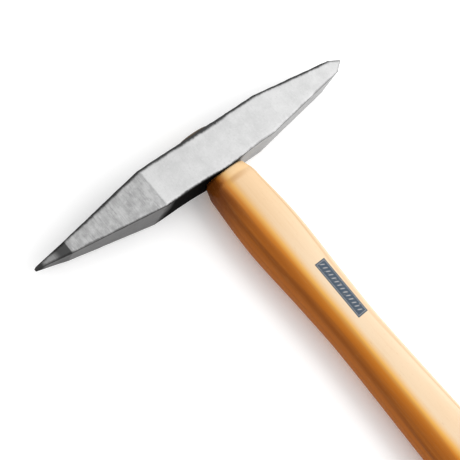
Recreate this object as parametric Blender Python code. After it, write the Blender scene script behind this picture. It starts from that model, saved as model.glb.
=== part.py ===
"""A chipping hammer lying on its side: a forged steel head with a point and a
cross chisel, on an oval wooden handle held by a wooden wedge and steel ones.

Metres, +Z up. X runs from the point to the chisel edge, Y from the butt of the
handle to the top of the head. The origin is on the lower side face of the head,
straight under the centre line of the handle, so the table is the plane z = 0.
"""

import math

import bmesh
import bpy
from mathutils import Vector

# Head, along X from the centre line of the handle. The working axis joins the
# tip of the point to the chisel edge, and heights along Y are measured from it.
POINT_REACH = 0.0965
CHISEL_REACH = 0.0835
BODY_THICKNESS = 0.0194  # side face to side face
BODY_TOP = 0.0089
BODY_BOTTOM = 0.0107
CHEEK_SWELL = 0.0008  # extra depth of the underside around the eye
CHEEK_REACH = 0.021  # half the length of that swell
CORNER_RADIUS = 0.0012  # rounding of the bar's long edges
CORNER_SHARE = 0.4  # most of a half size that the rounding takes where the bar is thin

# Point: where each face starts to taper, then the ground tip
POINT_TOP_START = 0.0374
POINT_BOTTOM_START = 0.0372
POINT_SIDE_START = 0.0370
POINT_GRIND_LENGTH = 0.0150
POINT_GRIND_TOP = 0.0025
POINT_GRIND_BOTTOM = 0.0038
POINT_GRIND_HALF_THICKNESS = 0.0043
TIP_HALF_HEIGHT = 0.0006
TIP_HALF_THICKNESS = 0.0014

# Chisel: its edge lies across the handle
CHISEL_WIDTH = 0.0194
CHISEL_TOP_START = 0.0335
CHISEL_BOTTOM_START = 0.0288
CHISEL_GRIND_LENGTH = 0.0052
CHISEL_GRIND_TOP = 0.0033
CHISEL_GRIND_BOTTOM = 0.0039
EDGE_HALF_HEIGHT = 0.0003

# Eye: an oval hole through the head along Y, narrowest halfway
EYE_HALF_LENGTH = 0.0086  # along X, at its waist
EYE_HALF_WIDTH = 0.0052  # along Z, at its waist
EYE_FLARE = 0.0012  # how much each half size grows towards both mouths

# Handle
HANDLE_LENGTH = 0.300  # end of the tenon to the butt
TENON_STANDS_PROUD = 0.0020
TENON_CHAMFER = 0.0006
SHOULDER_LEDGE = 0.0013  # half width of the handle under the head, beyond the eye
SHOULDER_BEVEL_LENGTH = 0.0046
SHOULDER_BEVEL_DEPTH = 0.0009
OVAL_POWER = 2.2  # 2 is an ellipse, more is squarer
BUTT_DOME = 0.009  # length of the rounded butt
BUTT_FLAT_SHARE = 0.45  # the flat left at the butt, as a share of the section
# Each station is a distance below the head or above the butt, the half width
# along X, and how far the handle's face lies inside the head's side face.
NECK_INSET = 0.0004
HANDLE_TOP_STATIONS = (
    (0.0078, 0.0123, 0.0003),
    (0.0335, 0.0142, 0.0001),
    (0.0650, 0.0129, 0.0004),
    (0.0900, 0.0123, 0.0007),
)
HANDLE_BUTT_STATIONS = (
    (0.1080, 0.0149, 0.0001),
    (0.0480, 0.0143, 0.0003),
    (0.0120, 0.0155, 0.0001),
)

# Wedges, driven into the end of the tenon
KERF_DEPTH = 0.0165
WOOD_WEDGE_LENGTH = 0.0150  # along Y
WOOD_WEDGE_THICKNESS = 0.0034  # along Z, at the driven end
WOOD_WEDGE_TOE = 0.0010  # along Z, at the thin end
STEEL_WEDGE_COUNT = 2
STEEL_WEDGE_SPACING = 0.0088  # between the two, along X
STEEL_WEDGE_LENGTH = 0.0095
STEEL_WEDGE_THICKNESS = 0.0018  # along X, at the driven end
STEEL_WEDGE_TOE = 0.0006
STEEL_WEDGE_END_WALL = 0.0007  # tenon wood left beyond each end of a steel wedge

GAP = 0.0003  # left between pieces that touch on the real hammer
CUT_MARGIN = 0.004  # how far a cutter runs past the face it opens

# Finish of each material: its name, colour, roughness and metallic value
HEAD_FINISH = ("forged steel", (0.62, 0.62, 0.62), 0.45, 1.0)
HANDLE_FINISH = ("varnished wood", (0.78, 0.52, 0.26), 0.35, 0.0)
WOOD_WEDGE_FINISH = ("bare wood", (0.72, 0.55, 0.34), 0.60, 0.0)
STEEL_WEDGE_FINISH = ("wedge steel", (0.50, 0.50, 0.51), 0.40, 1.0)
SMOOTH_BELOW = 35  # degrees between faces that are shaded as one surface

# How finely the lofts follow their curves
OVAL_POINTS = 36
CORNER_POINTS = 4
SWELL_STEPS = 10
EYE_STEPS = 8
DOME_STEPS = 5
BEVEL_STEPS = 2
GRIP_STEPS = 44

# Worked out from the sizes above
MID_HEIGHT = BODY_THICKNESS / 2  # the hammer is symmetric about this plane
UNDERSIDE = -(BODY_BOTTOM + CHEEK_SWELL)
EYE_MIDDLE = (BODY_TOP + UNDERSIDE) / 2
TENON_END = BODY_TOP + TENON_STANDS_PROUD
SHOULDER = UNDERSIDE - GAP
BUTT = TENON_END - HANDLE_LENGTH
TENON_HALF_LENGTH = EYE_HALF_LENGTH - GAP
TENON_HALF_WIDTH = EYE_HALF_WIDTH - GAP


def clear_scene():
    for item in list(bpy.data.objects):
        bpy.data.objects.remove(item)


def make_collection(name):
    made = bpy.data.collections.new(name)
    bpy.context.scene.collection.children.link(made)
    return made


def make_material(name, colour, roughness, metallic):
    made = bpy.data.materials.new(name)
    made.use_nodes = True
    shader = made.node_tree.nodes["Principled BSDF"]
    shader.inputs["Base Color"].default_value = (*colour, 1)
    shader.inputs["Roughness"].default_value = roughness
    shader.inputs["Metallic"].default_value = metallic
    return made


def add_part(name, mesh, collection, material):
    """One named piece, shaded smooth except at its sharp edges."""
    mesh.materials.append(material)
    mesh.shade_smooth()
    mesh.set_sharp_from_angle(angle=math.radians(SMOOTH_BELOW))
    made = bpy.data.objects.new(name, mesh)
    collection.objects.link(made)
    return made


def add_cutter(name, mesh, collection):
    made = bpy.data.objects.new(name, mesh)
    made.hide_render = True
    made.display_type = "WIRE"
    collection.objects.link(made)
    return made


def cut(target, cutter):
    hole = target.modifiers.new(cutter.name, "BOOLEAN")
    hole.operation = "DIFFERENCE"
    hole.object = cutter


def loft(name, rings):
    """A closed skin over rings that all have the same number of points."""
    mesh = bpy.data.meshes.new(name)
    skin = bmesh.new()
    loops = [[skin.verts.new(point) for point in ring] for ring in rings]
    for first, second in zip(loops, loops[1:]):
        for i in range(len(first)):
            skin.faces.new((first[i - 1], first[i], second[i], second[i - 1]))
    skin.faces.new(loops[0])
    skin.faces.new(loops[-1])
    bmesh.ops.recalc_face_normals(skin, faces=skin.faces)
    skin.to_mesh(mesh)
    skin.free()
    return mesh


def straight(stations, place):
    """The value at place on straight runs between (place, value) stations."""
    for (start, low), (end, high) in zip(stations, stations[1:]):
        if place <= end:
            share = max(place - start, 0) / (end - start)
            return low + (high - low) * share
    return stations[-1][1]


def smooth(stations, place):
    """The value at place on a smooth curve through (place, value) stations."""

    def slope(i):
        before = stations[max(i - 1, 0)]
        after = stations[min(i + 1, len(stations) - 1)]
        return (after[1] - before[1]) / (after[0] - before[0])

    k = 0
    while k < len(stations) - 2 and place > stations[k + 1][0]:
        k += 1
    start, low = stations[k]
    end, high = stations[k + 1]
    run = end - start
    t = min(max((place - start) / run, 0), 1)
    ease = t * t * (3 - 2 * t)
    leave = run * slope(k) * t * (1 - t) ** 2
    arrive = run * slope(k + 1) * t * t * (t - 1)
    return low + (high - low) * ease + leave + arrive


# Head

POINT_GRIND = POINT_GRIND_LENGTH - POINT_REACH
CHISEL_GRIND = CHISEL_REACH - CHISEL_GRIND_LENGTH
TOP_OUTLINE = (
    (-POINT_REACH, TIP_HALF_HEIGHT),
    (POINT_GRIND, POINT_GRIND_TOP),
    (-POINT_TOP_START, BODY_TOP),
    (CHISEL_TOP_START, BODY_TOP),
    (CHISEL_GRIND, CHISEL_GRIND_TOP),
    (CHISEL_REACH, EDGE_HALF_HEIGHT),
)
BOTTOM_OUTLINE = (
    (-POINT_REACH, TIP_HALF_HEIGHT),
    (POINT_GRIND, POINT_GRIND_BOTTOM),
    (-POINT_BOTTOM_START, BODY_BOTTOM),
    (CHISEL_BOTTOM_START, BODY_BOTTOM),
    (CHISEL_GRIND, CHISEL_GRIND_BOTTOM),
    (CHISEL_REACH, EDGE_HALF_HEIGHT),
)
SIDE_OUTLINE = (
    (-POINT_REACH, TIP_HALF_THICKNESS),
    (POINT_GRIND, POINT_GRIND_HALF_THICKNESS),
    (-POINT_SIDE_START, BODY_THICKNESS / 2),
    (CHISEL_TOP_START, BODY_THICKNESS / 2),
    (CHISEL_GRIND, CHISEL_WIDTH / 2),
    (CHISEL_REACH, CHISEL_WIDTH / 2),
)


def cheek(x):
    """Extra depth of the underside, largest under the eye."""
    share = min(abs(x) / CHEEK_REACH, 1)
    return CHEEK_SWELL * math.cos(math.pi / 2 * share) ** 2


def head_section(x):
    """The bar's rounded rectangle at x."""
    top = straight(TOP_OUTLINE, x)
    bottom = straight(BOTTOM_OUTLINE, x) + cheek(x)
    side = straight(SIDE_OUTLINE, x)
    radius = min(CORNER_RADIUS, CORNER_SHARE * (top + bottom) / 2, CORNER_SHARE * side)
    ring = []
    corners = ((top, side), (top, -side), (-bottom, -side), (-bottom, side))
    for quarter, (y, z) in enumerate(corners):
        middle_y = y - math.copysign(radius, y)
        middle_z = z - math.copysign(radius, z)
        for k in range(CORNER_POINTS):
            # The angle starts at +Z and turns through +Y, -Z and -Y.
            turn = math.pi / 2 * (quarter + k / (CORNER_POINTS - 1))
            point_y = middle_y + radius * math.sin(turn)
            point_z = middle_z + radius * math.cos(turn)
            ring.append(Vector((x, point_y, point_z + MID_HEIGHT)))
    return ring


def head_stations():
    kinks = {x for outline in (TOP_OUTLINE, BOTTOM_OUTLINE, SIDE_OUTLINE) for x, _ in outline}
    swell = {CHEEK_REACH * (2 * k / SWELL_STEPS - 1) for k in range(SWELL_STEPS + 1)}
    return sorted(kinks | swell)


def eye_half_sizes(y):
    """The eye's two half sizes at height y: least halfway, most at its mouths."""
    away = (y - EYE_MIDDLE) / (BODY_TOP - EYE_MIDDLE)
    flare = EYE_FLARE * min(away * away, 1)
    return EYE_HALF_LENGTH + flare, EYE_HALF_WIDTH + flare


def oval(y, half_x, half_z):
    """A ring at height y around the handle's centre line."""
    ring = []
    for k in range(OVAL_POINTS):
        turn = 2 * math.pi * k / OVAL_POINTS
        along, across = math.cos(turn), math.sin(turn)
        x = math.copysign(abs(along) ** (2 / OVAL_POWER), along) * half_x
        z = math.copysign(abs(across) ** (2 / OVAL_POWER), across) * half_z
        ring.append(Vector((x, y, z + MID_HEIGHT)))
    return ring


def eye_rings(inset):
    """Ovals from the eye's lower mouth to its upper one, inside its wall by inset."""
    rings = []
    for k in range(EYE_STEPS + 1):
        y = UNDERSIDE + (BODY_TOP - UNDERSIDE) * k / EYE_STEPS
        half_x, half_z = eye_half_sizes(y)
        rings.append(oval(y, half_x - inset, half_z - inset))
    return rings


def moved(ring, along_y):
    return [point + Vector((0, along_y, 0)) for point in ring]


def make_head(parts, cutters, steel):
    mesh = loft("hammer_head", [head_section(x) for x in head_stations()])
    head = add_part("hammer_head", mesh, parts, steel)
    rings = eye_rings(0)
    hole = [moved(rings[0], -CUT_MARGIN), *rings, moved(rings[-1], CUT_MARGIN)]
    cut(head, add_cutter("eye_cutter", loft("eye_cutter", hole), cutters))


# Handle


def handle_half_sizes(y):
    """Half width along X and half thickness along Z of the handle at height y."""
    mouth, _ = eye_half_sizes(UNDERSIDE)
    stations = [(0, mouth + SHOULDER_LEDGE, NECK_INSET), *HANDLE_TOP_STATIONS]
    below = SHOULDER - BUTT
    stations += [(below - rise, width, inset) for rise, width, inset in HANDLE_BUTT_STATIONS]
    depth = SHOULDER - y
    half_x = smooth([(place, width) for place, width, _ in stations], depth)
    half_z = BODY_THICKNESS / 2 - smooth([(place, inset) for place, _, inset in stations], depth)
    bevel = SHOULDER_BEVEL_DEPTH * max(1 - depth / SHOULDER_BEVEL_LENGTH, 0)
    return half_x - bevel, half_z - bevel


def dome_rings():
    """Ovals of the rounded butt, from its flat end up."""
    half_x, half_z = handle_half_sizes(BUTT + BUTT_DOME)
    rings = []
    for k in range(DOME_STEPS):
        turn = math.pi / 2 * k / DOME_STEPS
        share = BUTT_FLAT_SHARE + (1 - BUTT_FLAT_SHARE) * math.sin(turn)
        y = BUTT + BUTT_DOME * (1 - math.cos(turn))
        rings.append(oval(y, half_x * share, half_z * share))
    return rings


def grip_rings():
    """Ovals from the rounded butt up to the shoulder under the head."""
    bevel_start = SHOULDER - SHOULDER_BEVEL_LENGTH
    low = BUTT + BUTT_DOME
    heights = [low + (bevel_start - low) * k / GRIP_STEPS for k in range(GRIP_STEPS)]
    for k in range(BEVEL_STEPS + 1):
        heights.append(bevel_start + SHOULDER_BEVEL_LENGTH * k / BEVEL_STEPS)
    return [oval(y, *handle_half_sizes(y)) for y in heights]


def tenon_rings():
    """Ovals from the shoulder through the eye to the tenon's chamfered end."""
    through = eye_rings(GAP)
    half_x, half_z = eye_half_sizes(BODY_TOP)
    proud = oval(TENON_END - TENON_CHAMFER, half_x - GAP, half_z - GAP)
    end_inset = GAP + TENON_CHAMFER
    end = oval(TENON_END, half_x - end_inset, half_z - end_inset)
    return [moved(through[0], -GAP), *through, proud, end]


def make_handle(parts, cutters, wood):
    mesh = loft("handle", dome_rings() + grip_rings() + tenon_rings())
    handle = add_part("handle", mesh, parts, wood)
    kerf = add_cutter("kerf_cutter", kerf_shape(), cutters)
    cut(handle, kerf)
    return handle


# Wedges


def tapered_box(name, middle, top, length, top_size, toe_size):
    """A box down Y from top that narrows to its toe: sizes are (along X, along Z)."""
    mesh = bpy.data.meshes.new(name)
    shape = bmesh.new()
    bmesh.ops.create_cube(shape, size=1)
    for corner in shape.verts:
        along_x, along_z = top_size if corner.co.y > 0 else toe_size
        x = middle + corner.co.x * along_x
        y = top + (corner.co.y - 0.5) * length
        corner.co = (x, y, MID_HEIGHT + corner.co.z * along_z)
    shape.to_mesh(mesh)
    shape.free()
    return mesh


def wood_wedge_shape():
    wide = 2 * (TENON_HALF_LENGTH - GAP)
    top_size = (wide, WOOD_WEDGE_THICKNESS)
    toe_size = (wide, WOOD_WEDGE_TOE)
    return tapered_box("wood_wedge", 0, TENON_END, WOOD_WEDGE_LENGTH, top_size, toe_size)


def kerf_shape():
    """The saw cut across the tenon, opened by the wooden wedge to its taper."""
    growth = (WOOD_WEDGE_THICKNESS - WOOD_WEDGE_TOE) / WOOD_WEDGE_LENGTH
    wide = 2 * (TENON_HALF_LENGTH + EYE_FLARE + CUT_MARGIN)
    open_width = WOOD_WEDGE_THICKNESS + 2 * GAP
    top_size = (wide, open_width + growth * CUT_MARGIN)
    toe_size = (wide, open_width - growth * KERF_DEPTH)
    length = KERF_DEPTH + CUT_MARGIN
    return tapered_box("kerf_cutter", 0, TENON_END + CUT_MARGIN, length, top_size, toe_size)


def steel_wedge_width():
    """Width along Z that the oval tenon leaves at the outer face of the outer wedge."""
    outer_middle = STEEL_WEDGE_SPACING * (STEEL_WEDGE_COUNT - 1) / 2
    share = (outer_middle + STEEL_WEDGE_THICKNESS / 2 + GAP) / TENON_HALF_LENGTH
    chord = TENON_HALF_WIDTH * (1 - share**OVAL_POWER) ** (1 / OVAL_POWER)
    return 2 * (chord - STEEL_WEDGE_END_WALL)


def steel_wedge_shape(name, middle):
    width = steel_wedge_width()
    top_size = (STEEL_WEDGE_THICKNESS, width)
    toe_size = (STEEL_WEDGE_TOE, width)
    return tapered_box(name, middle, TENON_END, STEEL_WEDGE_LENGTH, top_size, toe_size)


def slot_shape(name, middle):
    """The slot that one steel wedge has split in the wood."""
    growth = (STEEL_WEDGE_THICKNESS - STEEL_WEDGE_TOE) / STEEL_WEDGE_LENGTH
    across = steel_wedge_width() + 2 * GAP
    open_width = STEEL_WEDGE_THICKNESS + 2 * GAP
    top_size = (open_width + growth * CUT_MARGIN, across)
    toe_size = (open_width - growth * (STEEL_WEDGE_LENGTH + GAP), across)
    length = STEEL_WEDGE_LENGTH + GAP + CUT_MARGIN
    return tapered_box(name, middle, TENON_END + CUT_MARGIN, length, top_size, toe_size)


def make_wedges(parts, cutters, handle, pale_wood, steel):
    wooden = add_part("wood_wedge", wood_wedge_shape(), parts, pale_wood)
    for k in range(STEEL_WEDGE_COUNT):
        middle = STEEL_WEDGE_SPACING * (k - (STEEL_WEDGE_COUNT - 1) / 2)
        name = f"steel_wedge_{k + 1}"
        add_part(name, steel_wedge_shape(name, middle), parts, steel)
        slot_name = f"{name}_slot"
        slot = add_cutter(slot_name, slot_shape(slot_name, middle), cutters)
        cut(handle, slot)
        cut(wooden, slot)


def build():
    clear_scene()
    parts = make_collection("chipping_hammer")
    cutters = make_collection("cutters")
    make_head(parts, cutters, make_material(*HEAD_FINISH))
    handle = make_handle(parts, cutters, make_material(*HANDLE_FINISH))
    pale_wood = make_material(*WOOD_WEDGE_FINISH)
    make_wedges(parts, cutters, handle, pale_wood, make_material(*STEEL_WEDGE_FINISH))


build()
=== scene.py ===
# %% [markdown]
# # A chipping hammer, finished over its CAD frame
#
# The CAD model fixes every size: a forged head, an oval handle and the three wedges that hold them
# together. This lesson makes the surfaces that a person would see and touch. It starts by loading that
# model, and everything later is measured from it, so that no piece has to be fitted afterwards.

# %% Load the frame
import math

import bmesh
import bpy
import numpy as np
from mathutils import Matrix, Vector, noise


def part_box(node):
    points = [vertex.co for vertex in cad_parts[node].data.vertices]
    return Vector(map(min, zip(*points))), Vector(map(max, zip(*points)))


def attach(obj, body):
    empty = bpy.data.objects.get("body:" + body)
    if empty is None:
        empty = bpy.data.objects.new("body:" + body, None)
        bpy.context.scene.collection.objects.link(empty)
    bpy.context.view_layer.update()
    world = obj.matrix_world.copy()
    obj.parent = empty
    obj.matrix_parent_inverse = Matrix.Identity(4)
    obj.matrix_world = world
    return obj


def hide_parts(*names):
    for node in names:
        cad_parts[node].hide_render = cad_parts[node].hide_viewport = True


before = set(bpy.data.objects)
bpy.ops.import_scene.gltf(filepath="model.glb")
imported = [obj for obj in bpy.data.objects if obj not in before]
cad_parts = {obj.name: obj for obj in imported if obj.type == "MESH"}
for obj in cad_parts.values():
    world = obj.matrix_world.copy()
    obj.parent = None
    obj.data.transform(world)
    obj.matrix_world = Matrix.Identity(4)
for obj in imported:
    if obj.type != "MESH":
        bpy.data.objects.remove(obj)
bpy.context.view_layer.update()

BODY = "root"
MM = 0.001

print("pieces in the frame:", sorted(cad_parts))

# %% [markdown]
# ## Reading outlines from the frame
#
# A loft in CAD is a row of rings. If we sort the points of a piece by where they stand along it, and keep
# the greatest distance from the centre at each place, we have the outline again as two short lists. They
# can be sampled as finely as we like with `numpy.interp`.

# %% Points and outlines


def node_points(name):
    """The points of one CAD piece, a row of x, y, z for each."""
    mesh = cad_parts[name].data
    points = np.empty(len(mesh.vertices) * 3)
    mesh.vertices.foreach_get("co", points)
    return points.reshape(-1, 3)


def greatest(places, values):
    """Every different place in rising order, to a micrometre, with its greatest value."""
    best = {}
    for place, value in zip(np.round(places, 6), values):
        best[place] = max(value, best.get(place, value))
    rising = sorted(best)
    return np.array(rising), np.array([best[place] for place in rising])


head_low, head_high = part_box("hammer_head")
handle_low, handle_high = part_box("handle")
MIDDLE = (head_low.z + head_high.z) / 2
POINT_END = head_low.x
CHISEL_END = head_high.x
UNDERSIDE = head_low.y
TOP = head_high.y
BUTT = handle_low.y
TENON_END = handle_high.y

print(f"middle plane at z = {MIDDLE / MM:.2f} mm, head from {UNDERSIDE / MM:.1f} to {TOP / MM:.1f} mm")

# %% [markdown]
# The head is a bar whose top, underside and thickness each follow a line of straight runs. The eye is a
# second outline inside the first: it is narrowest halfway and flares out to both mouths, so that the
# wedges can spread the tenon in it. Points of the eye are told from the others by how near they are to
# the handle's centre line.

# %% Lines of the head and of its eye
EYE_ZONE_X = 12 * MM
EYE_ZONE_Z = 7 * MM
NEAR = 0.1 * MM

x, y, z = node_points("hammer_head").T
aside = np.abs(z - MIDDLE)
in_eye = (np.abs(x) < EYE_ZONE_X) & (aside < EYE_ZONE_Z)
above = ~in_eye & (y > 0)
below = ~in_eye & (y < 0)
top_line = greatest(x[above], y[above])
under_line = greatest(x[below], -y[below])
side_line = greatest(x[~in_eye], aside[~in_eye])

eye_middle = (TOP + UNDERSIDE) / 2
waist_ring = in_eye & (np.abs(y - eye_middle) < NEAR)
mouth_ring = in_eye & (np.abs(y - TOP) < NEAR)
waist = np.array([np.abs(x[waist_ring]).max(), aside[waist_ring].max()])
mouth = np.array([np.abs(x[mouth_ring]).max(), aside[mouth_ring].max()])


def eye_half_sizes(height):
    """Half the eye's length and half its width at one height."""
    away = (height - eye_middle) / (TOP - eye_middle)
    return waist + (mouth - waist) * min(away * away, 1)


print("top line, mm:", np.round(np.array(top_line).T / MM, 2).tolist())
print("eye, mm: waist", np.round(waist / MM, 2), "mouth", np.round(mouth / MM, 2))

# %% [markdown]
# ## Node trees without the clutter
#
# Both Geometry Nodes and materials are trees of nodes. Written out call by call they hide what they work
# out, so one small class wraps an output socket. Arithmetic on it adds Math nodes, and `node` adds any
# other node: first its settings, then the values or links of its sockets.

# %% A socket that does arithmetic


class Wire:
    """One output socket of a node tree."""

    def __init__(self, tree, socket=None):
        self.tree = tree
        self.socket = socket

    def node(self, kind, settings=None, inputs=None, out=0):
        """Adds a node of this kind and returns one of its outputs."""
        made = self.tree.nodes.new(kind)
        for name, value in (settings or {}).items():
            if name == "stops":
                self.set_stops(made.color_ramp, value)
            else:
                setattr(made, name, value)
        for name, value in (inputs or {}).items():
            if isinstance(value, Wire):
                self.tree.links.new(value.socket, made.inputs[name])
            else:
                made.inputs[name].default_value = value
        return Wire(self.tree, made.outputs[out] if made.outputs else None)

    @staticmethod
    def set_stops(ramp, stops):
        while len(ramp.elements) < len(stops):
            ramp.elements.new(1)
        for element, (place, tone) in zip(ramp.elements, stops):
            element.position = place
            element.color = tone

    def maths(self, operation, *others):
        """A Math node on this value and any others."""
        return self.node("ShaderNodeMath", {"operation": operation}, dict(enumerate((self, *others))))

    def __add__(self, other):
        return self.maths("ADD", other)

    __radd__ = __add__

    def __sub__(self, other):
        return self.maths("SUBTRACT", other)

    def __rsub__(self, other):
        return self.node("ShaderNodeMath", {"operation": "SUBTRACT"}, {0: other, 1: self})

    def __mul__(self, other):
        return self.maths("MULTIPLY", other)

    __rmul__ = __mul__

    def __truediv__(self, other):
        return self.maths("DIVIDE", other)

    def __pow__(self, other):
        return self.maths("POWER", other)

    def __abs__(self):
        return self.maths("ABSOLUTE")

    def rise(self, start, end):
        """A smooth step: 0 below start, 1 above end."""
        settings = {"interpolation_type": "SMOOTHSTEP"}
        inputs = {"Value": self, "From Min": start, "From Max": end}
        return self.node("ShaderNodeMapRange", settings, inputs)

    def fall(self, start, end):
        return 1 - self.rise(start, end)

    def between(self, low, high):
        """The colour that is low where this value is 0 and high where it is 1."""
        return self.node("ShaderNodeMix", {"data_type": "RGBA"}, {0: self, 6: low, 7: high}, out=2)

    def blend(self, other, share):
        """This colour, with a share of another one mixed in."""
        return share.between(self, other)

    def axes(self):
        """The X, Y and Z of a position."""
        split = self.node("ShaderNodeSeparateXYZ", {}, {"Vector": self})
        return [Wire(self.tree, output) for output in split.socket.node.outputs]


print("sums, products and smooth steps now add their own nodes")

# %% [markdown]
# ## The handle's rule
#
# A hammer handle is turned or copied from a block: an oval whose width and thickness change slowly from a
# full palm swell to a slim neck, a short bevel under the shoulder, and a tenon that fills the eye. The
# rule is a line of heights with two half sizes at each. Straight runs between the CAD rings would show as
# bands in the varnish, so the grip is read through them as a smooth curve, while the bevel and the tenon
# keep their corners.

# %% Heights and half sizes of the handle
CAD_GAP = 0.3 * MM
HAIRLINE = 0.05 * MM
BUTT_DOME = 9 * MM
BUTT_FLAT_SHARE = 0.45
DOME_STEPS = 16
GRIP_STEP = 1.2 * MM
BEVEL_LENGTH = 4.6 * MM
BEVEL_STEPS = 8
TENON_STEPS = 16
CROWN_STEPS = 10
CROWN_INSET = 4.2 * MM

SHOULDER = UNDERSIDE - CAD_GAP
BEVEL_START = SHOULDER - BEVEL_LENGTH

hx, hy, hz = node_points("handle").T
outside = hy < SHOULDER + NEAR
grip_x = greatest(hy[outside], np.abs(hx[outside]))
grip_z = greatest(hy[outside], np.abs(hz[outside] - MIDDLE))


def smooth_read(line, place):
    """Reads a measured line at one place, as a curve through its points."""
    along, values = line
    steps = np.diff(values) / np.diff(along)
    turning = np.r_[True, steps[1:] * steps[:-1] <= 0, True]
    slopes = np.where(turning, 0, np.gradient(values, along))
    k = int(np.clip(np.searchsorted(along, place) - 1, 0, len(along) - 2))
    span = along[k + 1] - along[k]
    t = (place - along[k]) / span
    start = (2 * t - 3) * t * t + 1
    end = 1 - start
    leaving = t * (1 - t) ** 2 * span * slopes[k]
    arriving = t * t * (t - 1) * span * slopes[k + 1]
    return start * values[k] + end * values[k + 1] + leaving + arriving


def grip_row(height):
    return height, smooth_read(grip_x, height), smooth_read(grip_z, height)


def dome_rows():
    """The rounded butt: a quarter turn from its small flat up to full size."""
    _, full_x, full_z = grip_row(BUTT + BUTT_DOME)
    rows = []
    for k in range(DOME_STEPS):
        turn = math.pi / 2 * k / DOME_STEPS
        share = BUTT_FLAT_SHARE + (1 - BUTT_FLAT_SHARE) * math.sin(turn)
        height = BUTT + BUTT_DOME * (1 - math.cos(turn))
        rows.append((height, full_x * share, full_z * share))
    return rows


def grip_rows():
    low = BUTT + BUTT_DOME
    steps = round((BEVEL_START - low) / GRIP_STEP)
    return [grip_row(low + (BEVEL_START - low) * k / steps) for k in range(steps)]


def bevel_rows():
    heights = np.linspace(BEVEL_START, SHOULDER, BEVEL_STEPS + 1)
    return [(h, np.interp(h, *grip_x), np.interp(h, *grip_z)) for h in heights]


def tenon_rows(play, low, high):
    """The eye's own sizes from low to high, less the play at its wall."""
    rows = []
    for height in np.linspace(low, high, TENON_STEPS + 1):
        half_x, half_z = eye_half_sizes(height) - play
        rows.append((height, half_x, half_z))
    return rows


def crown_rows():
    """The tenon's end, sawn off above the eye and sanded to a low crown."""
    rows = []
    for k in range(1, CROWN_STEPS + 1):
        turn = math.pi / 2 * k / CROWN_STEPS
        height = TOP + (TENON_END - TOP) * math.sin(turn)
        half_x, half_z = mouth - HAIRLINE - CROWN_INSET * (1 - math.cos(turn))
        rows.append((height, half_x, half_z))
    return rows


tenon = [*tenon_rows(HAIRLINE, SHOULDER + HAIRLINE, TOP), *crown_rows()]
handle_rows = [*dome_rows(), *grip_rows(), *bevel_rows(), *tenon]
widest = 2 * max(half_x for _, half_x, _ in handle_rows)
print(len(handle_rows), "ovals, the widest", round(widest / MM, 2), "mm across")

# %% [markdown]
# ## One sweep in Geometry Nodes
#
# Sweeping an oval along a line is exactly what *Curve to Mesh* does. The line carries two numbers at each
# point: `half_width`, which goes into the sweep's scale, and `flatness`, which squeezes the result
# towards the middle plane afterwards. The oval is a circle whose coordinates are raised to a power a
# little under one, which fills out its shoulders as a spokeshave would leave them.

# %% Build the sweep
OVAL_POWER = 2.2
OVAL_POINTS = 96


def squared(value, power):
    """Pushes a coordinate of a circle out towards the corner, and keeps its sign."""
    return value.maths("SIGN") * abs(value) ** (2 / power)


def named(tree, attribute):
    return Wire(tree).node("GeometryNodeInputNamedAttribute", {"data_type": "FLOAT"}, {"Name": attribute})


def moved(shape, position):
    """The same shape with each point at a new place, given as the inputs of Combine XYZ."""
    place = shape.node("ShaderNodeCombineXYZ", {}, position)
    return shape.node("GeometryNodeSetPosition", {}, {"Geometry": shape, "Position": place})


def oval_profile(tree, points, power):
    circle = Wire(tree).node("GeometryNodeCurvePrimitiveCircle", {}, {"Resolution": points, "Radius": 1.0})
    across, along, _ = circle.node("GeometryNodeInputPosition").axes()
    return moved(circle, {"X": squared(across, power), "Y": squared(along, power)})


def flattened(shape, middle):
    """Squeezes the swept shape towards the middle plane by its own flatness."""
    across, along, up = shape.node("GeometryNodeInputPosition").axes()
    squeezed = middle + (up - middle) * named(shape.tree, "flatness")
    return moved(shape, {"X": across, "Y": along, "Z": squeezed})


def make_sweep_tree():
    tree = bpy.data.node_groups.new("oval_sweep", "GeometryNodeTree")
    kinds = {"Spine": "Geometry", "Oval Points": "Int", "Middle Height": "Float", "Finish": "Material"}
    for name, kind in kinds.items():
        tree.interface.new_socket(name, in_out="INPUT", socket_type=f"NodeSocket{kind}")
    tree.interface.new_socket("Shape", in_out="OUTPUT", socket_type="NodeSocketGeometry")
    given = {name: Wire(tree).node("NodeGroupInput", out=name) for name in kinds}
    curve = given["Spine"].node("GeometryNodeMeshToCurve", {}, {"Mesh": given["Spine"]})
    curve = curve.node("GeometryNodeSetCurveNormal", {"mode": "Z_UP"}, {"Curve": curve})
    profile = oval_profile(tree, given["Oval Points"], OVAL_POWER)
    sweep = {"Curve": curve, "Profile Curve": profile, "Scale": named(tree, "half_width")}
    shape = curve.node("GeometryNodeCurveToMesh", {}, {**sweep, "Fill Caps": True})
    shape = flattened(shape, given["Middle Height"])
    shape = shape.node("GeometryNodeSetShadeSmooth", {}, {"Geometry": shape})
    shape = shape.node("GeometryNodeRealizeInstances", {}, {"Geometry": shape})
    shape = shape.node("GeometryNodeSetMaterial", {}, {"Geometry": shape, "Material": given["Finish"]})
    shape.node("NodeGroupOutput", {}, {"Shape": shape})
    return tree


sweep_tree = make_sweep_tree()
print("the sweep has", len(sweep_tree.nodes), "nodes")

# %% [markdown]
# The tree is used through a modifier on a spine: a mesh of points and edges only. Its inputs are set by
# the identifier of each socket before Blender evaluates the object for the first time. The evaluated
# result is then copied to a plain mesh, so that nothing live is left on a finished piece.

# %% Use the sweep
SAME_POINT = 0.001 * MM


def add_object(name, data):
    made = bpy.data.objects.new(name, data)
    bpy.context.scene.collection.objects.link(made)
    return made


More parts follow.
